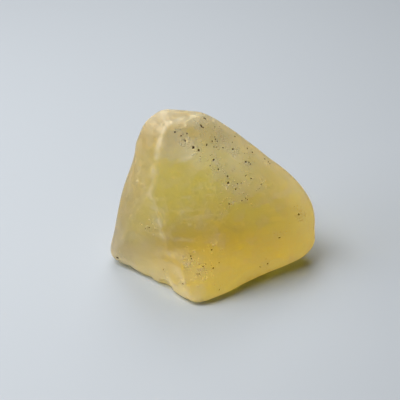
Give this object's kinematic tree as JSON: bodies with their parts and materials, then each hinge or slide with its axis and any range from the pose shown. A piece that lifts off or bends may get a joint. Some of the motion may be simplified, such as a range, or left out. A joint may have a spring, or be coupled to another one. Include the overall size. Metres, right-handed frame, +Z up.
{
  "type": "libyan desert glass",
  "caption": "Wind-worn lump of pale yellow natural glass with a broad front face, a sharp ridge, small pits and a round end; rests on a flat spot.",
  "frame": {"origin": "under the middle of the lump, on the surface that it rests on", "axes": "+X along the lump from its sharp left foot to its round right end, +Y away from the broad front face, +Z up"},
  "size_m": [0.04, 0.028, 0.0321],
  "materials": {
    "desert_glass": "frosted, milky, see-through"
  },
  "bodies": {
    "root": {"desert_glass": "desert_glass"}
  },
  "joints": []
}
